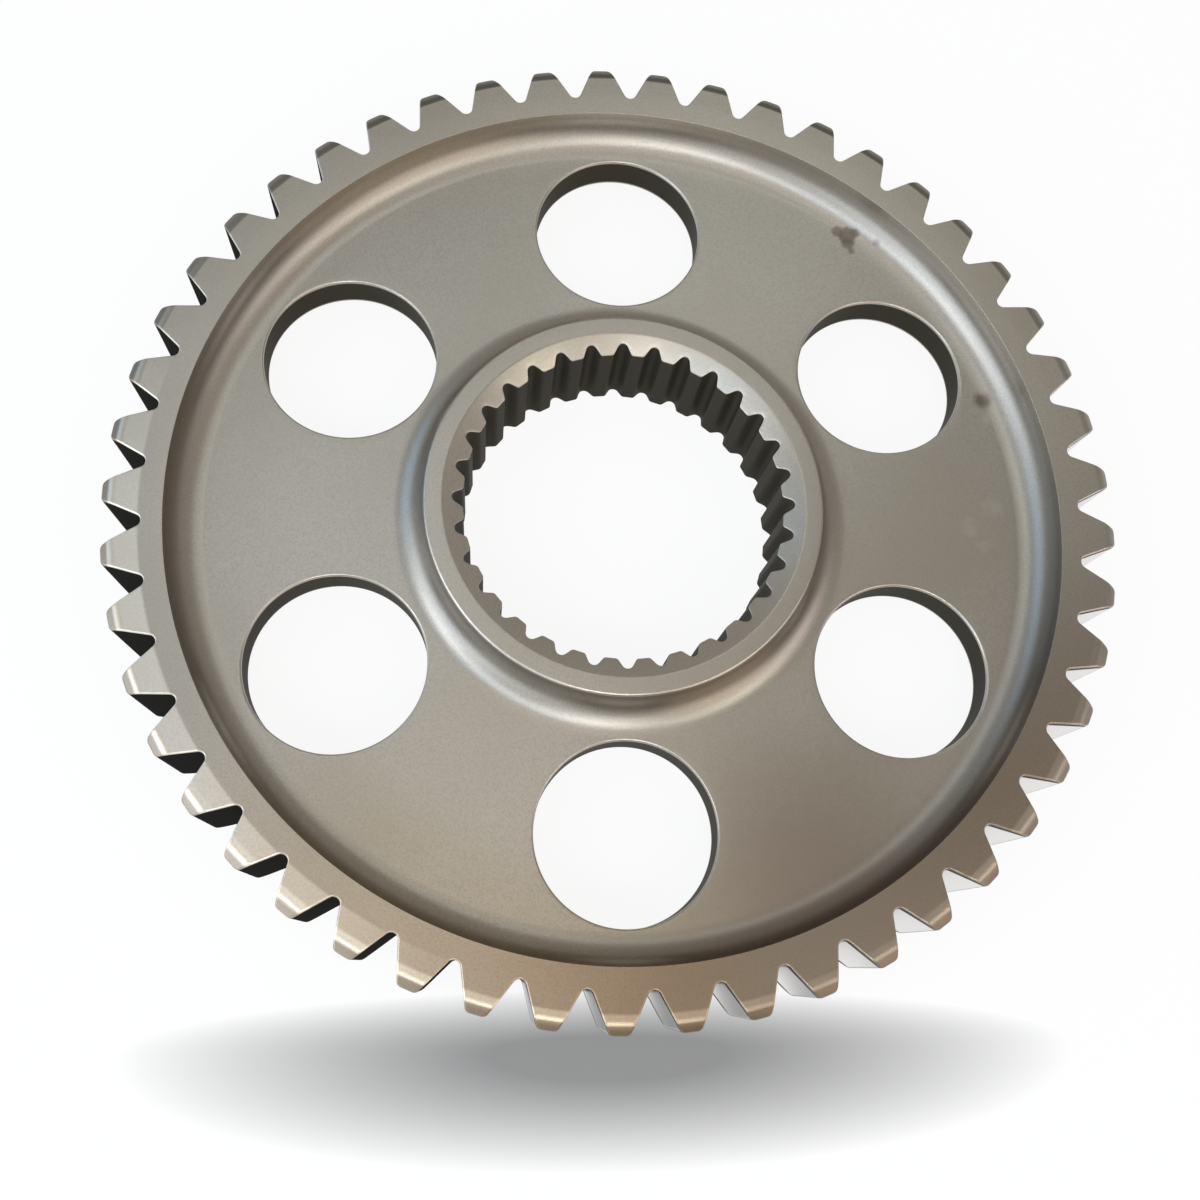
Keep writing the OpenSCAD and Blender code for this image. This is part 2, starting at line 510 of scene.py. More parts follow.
    def toothed_face(self, shell: Shell, start: Ring) -> Ring:
        """Adds the rim's front face and the rounded edge of its outline.

        Each point of the outline has a straight row of points towards the axis. The rows have
        points at the radii where the face bends, so that its creases run true across each tooth.

        Args:
            shell: Takes the points and faces.
            start: The ring at the recess edge.

        Returns:
            The ring on the tooth flanks, below the rounded edge.
        """
        outline = self.outline()
        border = outline.inset(self.edge)
        reach, way = np.abs(border), unit(border)
        soft = self.cone_soft * arc(-1, 1, 2)
        bevel = self.crease_r + self.bevel_soft * np.array(self.bevel_rows)
        rows = np.array([self.recess_r + self.wall / 2, *(self.cone_r + soft), *bevel, self.tip_r])
        least = self.sliver * np.arange(len(rows))[::-1]
        grid = np.minimum(rows[:, None], reach - least[:, None])
        last = shell.row(way * grid[0], self.face_height(grid[0]))
        shell.zip(start, last)
        for radii in grid[1:]:
            last = shell.extend(last, way * radii, self.face_height(radii))
        for inset, drop in rounding(self.edge, 3)[1:]:
            plan = outline.inset(inset)
            last = shell.extend(last, plan, self.face_height(np.abs(plan)) - drop, {Zone.EDGE: 1})
        wear = self.wear(outline)
        height = self.face_height(np.abs(outline.points)) - 2 * self.edge
        # Flanks that the chain doesn't rub get WALL 2, which gives them a near-black painted shade
        return shell.extend(last, outline.points, height, {Zone.WALL: 2 - wear, Zone.WORN: wear})

    def wear(self, outline: Outline) -> Array:
        """Share of wear at each point: the chain rubs the flanks that face clockwise."""
        clockwise = -(outline.normals / unit(outline.points)).imag
        return np.clip((clockwise - self.rub_from) / self.rub_range, 0, 1)


@dataclass
class SplinedHub:
    """The hub with its internal involute spline. Lengths are in millimetres.

    Args:
        faces: Heights of the flat faces.
        outer_r: Outer radius of the hub.
        fillet: Radius of the fillet to the web.
        outer_edge: Radius of the hub's broken outer edge.
        lead_in_r: Radius at which the lead-in chamfer meets the hub face.
        lead_in_h: Depth of the lead-in chamfer at the tips of the spline teeth.
        lead_in_soft: Half width of the broken edge of the chamfer.
        teeth: Number of spline teeth.
        module: Pitch diameter divided by the teeth.
        pressure: Pressure angle in degrees.
        groove_w: Width of a groove at the pitch circle.
        tip_depth: How far the tooth tips lie inside the pitch circle.
        form_depth: How far the involute flanks reach outside the pitch circle.
        corner_r: Radius of the corners of the tooth tips.
        spline_edge: Radius of the broken ends of the spline.
        fillet_steps: Rows of faces along the fillet.
        count: Points round the outside of the hub.
    """

    faces: Faces
    outer_r: float = 29.2
    fillet: float = 4.8
    outer_edge: float = 0.45
    lead_in_r: float = 26.5
    lead_in_h: float = 1.4
    lead_in_soft: float = 0.2
    teeth: int = 32
    module: float = 1.5
    pressure: float = 30.0
    groove_w: float = 2.2
    tip_depth: float = 0.5
    form_depth: float = 0.7
    corner_r: float = 0.6
    spline_edge: float = 0.1
    fillet_steps: int = 12
    count: int = 384

    @property
    def pitch_r(self) -> float:
        """Pitch radius of the spline."""
        return self.module * self.teeth / 2

    @property
    def base_r(self) -> float:
        """Radius of the involutes' base circle."""
        return self.pitch_r * math.cos(math.radians(self.pressure))

    @property
    def tip_r(self) -> float:
        """Radius of the spline teeth's tips."""
        return self.pitch_r - self.tip_depth

    def lean_at(self, radius: Array | float) -> Array:
        """Pressure angle of the involute at a radius, in radians."""
        return np.arccos(self.base_r / np.asarray(radius))

    def half_groove_turn(self, radius: Array | float) -> Array:
        """Half of a groove's angle, which narrows outwards as the involute function grows.

        Args:
            radius: Distance from the axis.

        Returns:
            The angle there, in radians.
        """
        def involute(a: Array | float) -> Array:
            """Involute function of an angle in radians."""
            return np.tan(a) - a

        pitch_turn = self.groove_w / 2 / self.pitch_r + involute(math.radians(self.pressure))
        return pitch_turn - involute(self.lean_at(radius))

    def half_groove(self) -> Outline:
        """Outline from the middle of a groove to the middle of the tooth after it, for a groove along X.

        The groove's bottom is an arc that touches both involutes at the form circle. The normal of
        an involute leans from the tangent by the pressure angle. The arc of a tooth's corner has
        its middle on the involute that lies a corner radius deeper in the steel.

        Returns:
            The outline, anticlockwise.
        """
        form_r = self.pitch_r + self.form_depth
        form_turn = float(self.half_groove_turn(form_r))
        lean = float(self.lean_at(form_r)) - form_turn
        bottom_r = form_r * math.sin(form_turn) / math.cos(lean)
        bottom_way = polar(1, arc(0, math.pi / 2 - lean, 3))
        bottom = self.base_r / math.cos(lean) + bottom_r * bottom_way
        middle_r = self.tip_r + self.corner_r
        middle_turn = float(self.half_groove_turn(middle_r)) + self.corner_r / self.base_r
        middle = polar(middle_r, middle_turn)
        middle_lean = float(self.lean_at(middle_r))
        start = middle_turn - math.pi / 2 - middle_lean
        corner_way = polar(1, arc(start, middle_turn - math.pi, 3))
        corner = middle + self.corner_r * corner_way
        radii = np.linspace(form_r, abs(corner[0]), 4)[1:-1]
        turns = self.half_groove_turn(radii)
        flank = polar(radii, turns)
        flank_ways = polar(1, turns - np.pi / 2 - self.lean_at(radii))
        land = polar(self.tip_r, arc(middle_turn, math.pi / self.teeth, 2)[1:])
        points = np.concatenate([bottom, flank, corner, land])
        normals = np.concatenate([-bottom_way, flank_ways, corner_way, -unit(land)])
        return Outline(points, normals)

    def outline(self) -> Outline:
        """Outline of the whole spline, with normals into the bore."""
        return whole_pitch(self.half_groove()).repeated(self.teeth, 0)

    def lead_in_height(self, radius: Array) -> Array:
        """Height of the hub's front face at a radius, with the lead-in chamfer."""
        slope = self.lead_in_h / (self.lead_in_r - self.tip_r)
        return self.faces.rim - crease_drop(self.lead_in_r - radius, slope, self.lead_in_soft)

    def build(self, shell: Shell) -> tuple[Ring, Ring]:
        """Adds the front half of the hub. Its lead-in chamfer is marked as an edge, which gets a painted
        highlight.

        Args:
            shell: Takes the points and faces.

        Returns:
            The ring on the walls of the spline, and the ring where the fillet meets the web.
        """
        outline = self.outline()
        start_z = self.lead_in_height(np.abs(outline.points)) - 2 * self.spline_edge
        first = shell.row(outline.points, start_z, {Zone.WALL: 1})
        last = first
        for inset, drop in reversed(rounding(self.spline_edge, 2)):
            plan = outline.inset(inset)
            last = shell.extend(last, plan, self.lead_in_height(np.abs(plan)) - drop, {Zone.EDGE: 1})
        border = outline.inset(self.spline_edge)
        reach, way = np.abs(border), unit(border)
        soft = self.lead_in_soft
        chamfer = [reach + (self.lead_in_r - soft - reach) * s for s in (0.5, 1)]
        turn_over = [np.full(len(way), self.lead_in_r + soft * s) for s in (-0.33, 0.33, 1)]
        for radii, cut in [(row, 1) for row in chamfer] + [(row, 0) for row in turn_over]:
            last = shell.extend(last, way * radii, self.lead_in_height(radii), {Zone.EDGE: cut})
        return first, self.outside(shell, last)

    def outside(self, shell: Shell, start: Ring) -> Ring:
        """Adds the hub's face outside the chamfer, its wall and its fillet.

        Args:
            shell: Takes the points and faces.
            start: The ring outside the chamfer.

        Returns:
            The ring where the fillet meets the web.
        """
        edge = rounding(self.outer_edge, 4)
        section = [(self.outer_r - inset, self.faces.rim - drop, 1) for inset, drop in edge]
        middle = (self.outer_r + self.fillet, self.faces.web + self.fillet)
        section += [
            (middle[0] - self.fillet * math.cos(t), middle[1] - self.fillet * math.sin(t), 0)
            for t in arc(0, np.pi / 2, self.fillet_steps)
        ]
        face_edge = shell.circle(*section[0][:2], self.count)
        shell.zip(start, face_edge)
        return shell.profile(section[1:], face_edge)


@dataclass
class Web:
    """The web with its lightening holes. Lengths are in millimetres.

    Args:
        faces: Heights of the flat faces.
        holes: Number of holes.
        hole_r: Radius of a hole.
        circle_r: Radius of the circle that the holes' middles stand on.
        broken: Width and depth of the broken edge round each hole.
        side_steps: Faces along the border between two holes.
        rows: Rows of faces between a hole and the border of its sector.
    """

    faces: Faces
    holes: int = 6
    hole_r: float = 12.9
    circle_r: float = 47.29
    broken: float = 0.3
    side_steps: int = 16
    rows: int = 3

    def build(self, shell: Shell, inner: Ring, outer: Ring) -> Array:
        """Adds the front face of the web and the upper edges of its holes.

        The web is cut into one sector for each hole, from one middle between two holes to the
        next. A sector's border is a closed loop: along the outer ring, down one side, back along
        the inner ring and up the other side. Rows of faces lie between the hole and that loop, at
        the squares of even shares, so that they are narrowest beside the hole.

        Args:
            shell: Takes the points and faces.
            inner: The ring where the web meets the hub's fillet.
            outer: The ring where the web meets the rim's fillet.

        Returns:
            Numbers of the last points on the hole walls, one row for each hole.
        """
        borders, loop = self.borders(shell, inner, outer)
        turn = 2 * np.pi * (np.arange(self.holes) + 0.5) / self.holes
        middle = polar(self.circle_r, turn)[:, None]
        way = unit(loop - middle)
        top = middle + way * (self.hole_r + self.broken)
        last = shell.add(top, self.faces.web)
        first = last
        for share in np.arange(1, self.rows) / self.rows:
            row = shell.add(top + (loop - top) * share**2, self.faces.web)
            shell.join(last, row)
            last = row
        shell.join(last, borders)
        last = first
        for inset, drop in rounding(self.broken, 3)[1:]:
            plan = middle + way * (self.hole_r + inset)
            row = shell.add(plan, self.faces.web - drop, {Zone.EDGE: 1})
            shell.join(row, last)
            last = row
        below_z = self.faces.web - 2 * self.broken
        below = shell.add(middle + way * self.hole_r, below_z, {Zone.WALL: 1})
        shell.join(below, last)
        return below

    def borders(self, shell: Shell, inner: Ring, outer: Ring) -> tuple[Array, Array]:
        """Gathers the border loop of each sector and adds the points on the sides between them.

        Args:
            shell: Takes the points.
            inner: The ring where the web meets the hub's fillet.
            outer: The ring where the web meets the rim's fillet.

        Returns:
            Numbers of the loops' points, and their places in plan, one row for each hole.
        """
        k = np.arange(self.holes)[:, None]
        out_steps, in_steps = len(outer.index) // self.holes, len(inner.index) // self.holes
        along_outer = outer.index[(k * out_steps + np.arange(out_steps + 1)) % len(outer.index)]
        along_inner = inner.index[(k * in_steps + np.arange(in_steps + 1)) % len(inner.index)]
        plan = shell.plan()
        start, end = plan[along_inner[:, 0]], plan[along_outer[:, 0]]
        share = np.arange(1, self.side_steps) / self.side_steps
        side_plan = start[:, None] + (end - start)[:, None] * share
        side = shell.add(side_plan, self.faces.web)
        next_side = np.roll(side, -1, 0)
        loops = np.concatenate([along_outer, next_side[:, ::-1], along_inner[:, ::-1], side], 1)
        return loops, shell.plan()[loops]


@dataclass(frozen=True)
class Spot:
    """A soft patch of another colour on the steel. Lengths are in metres.

    Args:
        middle: Its middle, in the part's frame.
        radius: Its radius.
        soft: Share of the radius over which it fades out.
        ragged: How far its border wanders in and out.
        colour: Its linear colour.
        strength: How much of that colour shows in its middle.
    """

    middle: Place
    radius: float
    soft: float
    ragged: float
    colour: Colour
    strength: float


@dataclass(frozen=True)
class TintAndPaintedLight:
    """A wide tint of the web, the rim or the teeth, on one side of the part. Some of them are painted
    highlights and painted shade on the teeth. Lengths are in metres.

    Args:
        azimuth: Direction of its middle, in degrees from the X axis, anticlockwise.
        half_angle: Angle from there at which it has faded out, in degrees.
        inner_r: Radius at which it starts.
        full_r: Radius at which it is full.
        tint: Linear colour by which it multiplies that of the steel.
    """

    azimuth: float
    half_angle: float
    inner_r: float
    full_r: float
    tint: Colour

    @property
    def toward(self) -> Place:
        """Unit vector from the axis to its middle."""
        turn = math.radians(self.azimuth)
        return math.cos(turn), math.sin(turn), 0

    @property
    def fade(self) -> float:
        """Cosine of the angle at which it has faded out."""
        return math.cos(math.radians(self.half_angle))


# Linear colours of the oil stains, of the paler patches and of the painted shade on the lower right of the
# web
STAIN: Colour = (0.155, 0.125, 0.1)
PALE: Colour = (0.5, 0.46, 0.4)
SHADY: Colour = (0.255, 0.213, 0.172)


@dataclass(frozen=True)
class SteelFinish:
    """Satin steel, as it leaves shot cleaning after heat treatment. Colours are linear, lengths in metres.

    Args:
        base: Colour of the faces.
        warm: Colour of the browner clouds in it.
        dark: Colour of the pits in the grain.
        scale: Colour of the dark heat scale that is left on the walls.
        flank_scale_and_shade: Its colour on the flanks that the chain doesn't rub, painted near black as
            painted shade.
        rubbed: Colour of the flanks that the chain has polished.
        scale_metallic: Metallic share of the scale.
        specular: Specular level of bare steel.
        scale_specular: Specular level of the scale on the walls. On the flanks it is 0.
        roughness: Roughness of the faces.
        scale_roughness: Roughness of the walls.
        rubbed_roughness: Roughness of the polished flanks and of the broken edges.
        edge_highlight_gain: How much brighter the broken edges and the lead-in chamfer are painted, as a
            painted highlight.
        grain: Size of the speckle.
        cloud: Size of the clouds.
        bump: Height of the grain.
        chain_half_w: Half of the chain's width, inside which the flanks are polished.
        chain_fade: Width of the border of the polish.
        tints_and_painted_light: Wide tints, and painted highlights and painted shade on the teeth.
        spots: Stains, paler patches and a wide patch of painted shade.
    """

    base: Colour = (0.415, 0.385, 0.34)
    warm: Colour = (0.385, 0.35, 0.3)
    dark: Colour = (0.355, 0.325, 0.28)
    scale: Colour = (0.036, 0.031, 0.021)
    # Nearly black on the unrubbed flanks: painted shade on top of the scale
    flank_scale_and_shade: Colour = (0.013, 0.012, 0.01)
    rubbed: Colour = (0.8, 0.79, 0.77)
    scale_metallic: float = 0.1
    specular: float = 0.5
    scale_specular: float = 0.08
    roughness: float = 0.39
    scale_roughness: float = 0.6
    rubbed_roughness: float = 0.33
    # Painted highlight on the broken edges and the lead-in chamfer
    edge_highlight_gain: float = 1.25
    grain: float = 0.0003
    cloud: float = 0.03
    bump: float = 0.000012
    chain_half_w: float = 0.0075
    chain_fade: float = 0.0006
    tints_and_painted_light: tuple[TintAndPaintedLight, ...] = (
        # Wide tints: browner and darker on the lower right of the rim, darker and cooler from the lower
        # right of the fillet outwards, lighter towards the top of the rim, warmer on the lower web, golden
        # on the lower rim
        TintAndPaintedLight(298, 64, 0.0635, 0.0655, (0.79, 0.69, 0.60)),
        TintAndPaintedLight(313, 60, 0.0600, 0.0618, (0.79, 0.80, 0.82)),
        TintAndPaintedLight(90, 180, 0.0645, 0.0655, (1.15, 1.15, 1.13)),
        TintAndPaintedLight(256, 45, 0.0480, 0.0580, (0.95, 0.91, 0.84)),
        TintAndPaintedLight(252, 50, 0.0635, 0.0660, (1.06, 1.00, 0.95)),
        # Painted light on the teeth: a painted highlight on the left tooth faces, a warmer colour in the
        # painted highlight at the left creases, painted shade on the left tips, a painted cream highlight
        # on the bottom teeth, painted shade on the bottom tips and painted shade on the top tips
        TintAndPaintedLight(206, 50, 0.0682, 0.0687, (1.55, 1.58, 1.62)),
        TintAndPaintedLight(195, 60, 0.0715, 0.0718, (1.00, 0.94, 0.87)),
        TintAndPaintedLight(195, 60, 0.0724, 0.0729, (0.45, 0.44, 0.44)),
        TintAndPaintedLight(280, 72, 0.0708, 0.0713, (1.6, 1.68, 1.75)),
        TintAndPaintedLight(275, 62, 0.0723, 0.0726, (0.45, 0.42, 0.4)),
        TintAndPaintedLight(88, 95, 0.0715, 0.0717, (0.38, 0.39, 0.39)),
    )
    spots: tuple[Spot, ...] = (
        Spot((0.0374, 0.0484, 0.0029), 0.0018, 0.45, 0.0005, STAIN, 0.85),
        Spot((0.0358, 0.0492, 0.0029), 0.0013, 0.6, 0.0004, STAIN, 0.75),
        Spot((0.0374, 0.0470, 0.0029), 0.0013, 0.6, 0.0004, STAIN, 0.75),
        Spot((0.0379, 0.0458, 0.0029), 0.0008, 0.7, 0.0003, STAIN, 0.65),
        Spot((0.0387, 0.0489, 0.0030), 0.0011, 0.6, 0.0003, STAIN, 0.8),
        Spot((0.0419, 0.0470, 0.0036), 0.0008, 0.7, 0.0004, STAIN, 0.5),
        Spot((0.0573, 0.0200, 0.0029), 0.0020, 0.8, 0.0005, STAIN, 0.85),
        Spot((0.0577, 0.0169, 0.0029), 0.0013, 0.9, 0.0006, PALE, 0.5),
        Spot((0.0575, 0.0021, 0.0029), 0.0021, 0.8, 0.0016, PALE, 0.4),
        Spot((0.0534, -0.0013, 0.0029), 0.0019, 0.8, 0.0014, PALE, 0.35),
        Spot((0.0553, -0.0041, 0.0029), 0.0016, 0.8, 0.0014, PALE, 0.3),
        # Painted shade over the lower right of the web, the fillet and the rim
        Spot((0.0260, -0.0535, 0.0040), 0.0290, 0.9, 0.0020, SHADY, 0.9),
    )


class NodeTree:
    """Short forms for building a shader node tree."""

    def __init__(self, tree: bpy.types.NodeTree) -> None:
        """Takes the tree that the nodes go into."""
        self.tree = tree

    def feed(self, target: Socket, value: object) -> None:
        """Links a socket to another one, or sets a plain value on it.

        Args:
            target: The input.
            value: A socket, a number, a vector, or a colour without its alpha.
        """
        if isinstance(value, Socket):
            self.tree.links.new(value, target)
        elif target.type == "RGBA":
            target.default_value = (*value, 1)
        else:
            target.default_value = value

    def fill(self, node: Node, given: dict[int | str, object]) -> Node:
        """Feeds several inputs of a node.

        Args:
            node: The node.
            given: A value or a socket for each input, by number or by name.

        Returns:
            The node.
        """
        for key, value in given.items():
            self.feed(node.inputs[key], value)
        return node

    def node(self, kind: str, given: dict[int | str, object] | None = None, **settings: object) -> Node:
        """Adds a node.

        Args:
            kind: Its type.
            given: A value or a socket for some of its inputs, by number or by name.
            settings: Its properties.

        Returns:
            The node.
        """
        made = self.tree.nodes.new(kind)
        for name, value in settings.items():
            setattr(made, name, value)
        return self.fill(made, given or {})

    def math(self, operation: str, *values: object, clamp: bool = False) -> Socket:
        """Adds a Math node and returns its result."""
        given = dict(enumerate(values))
        return self.node("ShaderNodeMath", given, operation=operation, use_clamp=clamp).outputs[0]

    def vector(self, operation: str, output: str, *values: object) -> Socket:
        """Adds a Vector Math node and returns the named output."""
        made = self.node("ShaderNodeVectorMath", dict(enumerate(values)), operation=operation)
        return made.outputs[output]

    def split(self, vector: Socket) -> dict[str, Socket]:
        """Adds a Separate XYZ node and returns its outputs by name."""
        return dict(self.node("ShaderNodeSeparateXYZ", {0: vector}).outputs.items())

    def place(self) -> Socket:
        """Adds a Texture Coordinate node and returns the place in the object's frame."""
        return self.node("ShaderNodeTexCoord").outputs["Object"]

    def noise(self, vector: Socket, scale: object, detail: float) -> Socket:
        """Adds a Noise texture and returns its value."""
        given = {"Vector": vector, "Scale": scale, "Detail": detail}
        return self.node("ShaderNodeTexNoise", given).outputs["Fac"]

    def ramp(self, value: Socket, low: object, high: object) -> Socket:
        """Maps low..high to 0..1 with a smooth step."""
        given = {"Value": value, "From Min": low, "From Max": high}
        return self.node("ShaderNodeMapRange", given, interpolation_type="SMOOTHSTEP").outputs["Result"]

    def mix(self, share: Socket, a: object, b: object, blend: str = "MIX") -> Socket:
        """Mixes two colours."""
        given = {0: share, 6: a, 7: b}
        return self.node("ShaderNodeMix", given, data_type="RGBA", blend_type=blend).outputs[2]

    def blend(self, share: Socket, a: object, b: object) -> Socket:
        """Mixes two values."""
        return self.node("ShaderNodeMix", {0: share, 2: a, 3: b}, data_type="FLOAT").outputs[0]

    def attribute(self, zone: Zone) -> Socket:
        """Reads a zone attribute of the mesh."""
        return self.node("ShaderNodeAttribute", attribute_name=zone.value).outputs["Fac"]

    def group(self, effect: bpy.types.NodeTree, **values: object) -> Socket:
        """Adds a shared effect, feeds its inputs by name and returns its first output."""
        return self.node("ShaderNodeGroup", values, node_tree=effect).outputs[0]


def add_object(name: str, data: bpy.types.ID) -> bpy.types.Object:
    """Adds an object to the scene.

    Args:
        name: Its name.
        data: Its mesh, light or camera.

    Returns:
        The object.
    """
    made = bpy.data.objects.new(name, data)
    bpy.context.scene.collection.objects.link(made)
    return made


def new_material(name: str) -> tuple[bpy.types.Material, NodeTree, Node]:
    """Makes a material.

    Args:
        name: Its name.

    Returns:
        The material, its node tree and its main shader.
    """
    material = bpy.data.materials.new(name)
    material.use_nodes = True
    return material, NodeTree(material.node_tree), material.node_tree.nodes["Principled BSDF"]


class Effects:
    """Shared node groups. They give out only colours and masks.

    Attributes:
        ragged_scale: Scale of the noise on a spot's border, for each metre.
        cloud_ramp: Noise values between which a cloud fades in.
        pit_ramp: Grain values between which a pit fades in.
    """

    ragged_scale: float = 900.0
    cloud_ramp: tuple[float, float] = (0.35, 0.7)
    pit_ramp: tuple[float, float] = (0.35, 0.75)

    def __init__(self) -> None:
        """Makes the groups."""
        self.grain = self.make_grain()
        self.spot = self.make_spot()
        self.tint_and_painted_light = self.make_tint_and_painted_light()
        self.tone = self.make_tone()

    @staticmethod
    def start(
        name: str, takes: dict[str, str], gives: tuple[str, str]
    ) -> tuple[NodeTree, list[Socket], Socket]:
        """Makes an empty group.

        Args:
            name: Name of the group.
            takes: Kinds of its input sockets, by name.
            gives: Name and kind of its output socket.

        Returns:
            Its tree, the sockets that give its inputs, and the socket that takes its result.
        """
        tree = bpy.data.node_groups.new(name, "ShaderNodeTree")
        for socket, kind in takes.items():
            tree.interface.new_socket(socket, in_out="INPUT", socket_type=f"NodeSocket{kind}")
        tree.interface.new_socket(gives[0], in_out="OUTPUT", socket_type=f"NodeSocket{gives[1]}")
        given = tree.nodes.new("NodeGroupInput")
        result = tree.nodes.new("NodeGroupOutput")
        return NodeTree(tree), given.outputs[:len(takes)], result.inputs[0]

    def make_grain(self) -> bpy.types.NodeTree:
        """Fine speckle of a shot cleaned face, from 0 to 1.

        Returns:
            The group.
        """
        takes = {"Place": "Vector", "Size": "Float"}
        nodes, (place, size), result = self.start("grain", takes, ("Grain", "Float"))
        nodes.feed(result, nodes.noise(place, nodes.math("DIVIDE", 1.0, size), 3))
        return nodes.tree

    def make_spot(self) -> bpy.types.NodeTree:
        """Mask of a round patch with a ragged, soft border.

        A noise moves the distance to the middle, and the mask falls smoothly to 0 at the radius.

        Returns:
            The group.
        """
        takes = {"Place": "Vector", "Middle": "Vector"}
        takes |= dict.fromkeys(("Radius", "Soft", "Ragged"), "Float")
        nodes, inputs, result = self.start("spot", takes, ("Mask", "Float"))
        place, middle, radius, soft, ragged = inputs
        away = nodes.vector("DISTANCE", "Value", place, middle)
        # The noise less a half, doubled, moves the border by up to ragged in and out
        wander = nodes.math("SUBTRACT", nodes.noise(place, self.ragged_scale, 3), 0.5)
        away = nodes.math("MULTIPLY_ADD", nodes.math("MULTIPLY", wander, ragged), 2.0, away)
        inner = nodes.math("MULTIPLY", nodes.math("SUBTRACT", 1.0, soft), radius)
        nodes.feed(result, nodes.math("SUBTRACT", 1.0, nodes.ramp(away, inner, radius)))
        return nodes.tree

    def make_tint_and_painted_light(self) -> bpy.types.NodeTree:
        """Mask of a tint that is full on one side of the axis and from a radius outwards. The same mask
        places the painted highlights and painted shade on the teeth.

        The mask is a smooth step of the cosine of the angle to its middle, times a smooth step of
        the radius.

        Returns:
            The group.
        """
        takes = {"Place": "Vector", "Toward": "Vector"}
        takes |= dict.fromkeys(("Fade", "Inner", "Full"), "Float")
        nodes, inputs, result = self.start("tint_and_painted_light", takes, ("Mask", "Float"))
        place, toward, fade, inner, full = inputs
        plan = nodes.vector("MULTIPLY", "Vector", place, (1, 1, 0))
        radius = nodes.vector("LENGTH", "Value", plan)
        along = nodes.vector("DOT_PRODUCT", "Value", plan, toward)
        # A radius of at least a millimetre, so that nothing is divided by 0 on the axis
        cosine = nodes.math("DIVIDE", along, nodes.math("MAXIMUM", radius, MM))
        side = nodes.ramp(cosine, fade, 1.0)
        nodes.feed(result, nodes.math("MULTIPLY", side, nodes.ramp(radius, inner, full)))
        return nodes.tree

    def make_tone(self) -> bpy.types.NodeTree:
        """Colour of bare steel: wide warm clouds, and the darker pits of the grain.

        Returns:
            The group.
        """
        takes = {"Place": "Vector", "Size": "Float", "Grain": "Float"}
        takes |= dict.fromkeys(("Base", "Warm", "Dark"), "Color")
        nodes, inputs, result = self.start("steel tone", takes, ("Colour", "Color"))
        place, size, grain, base, warm, dark = inputs
        cloud = nodes.ramp(nodes.noise(place, nodes.math("DIVIDE", 1.0, size), 5), *self.cloud_ramp)
        pits = nodes.ramp(grain, *self.pit_ramp)
        nodes.feed(result, nodes.mix(pits, nodes.mix(cloud, base, warm), dark))
        return nodes.tree


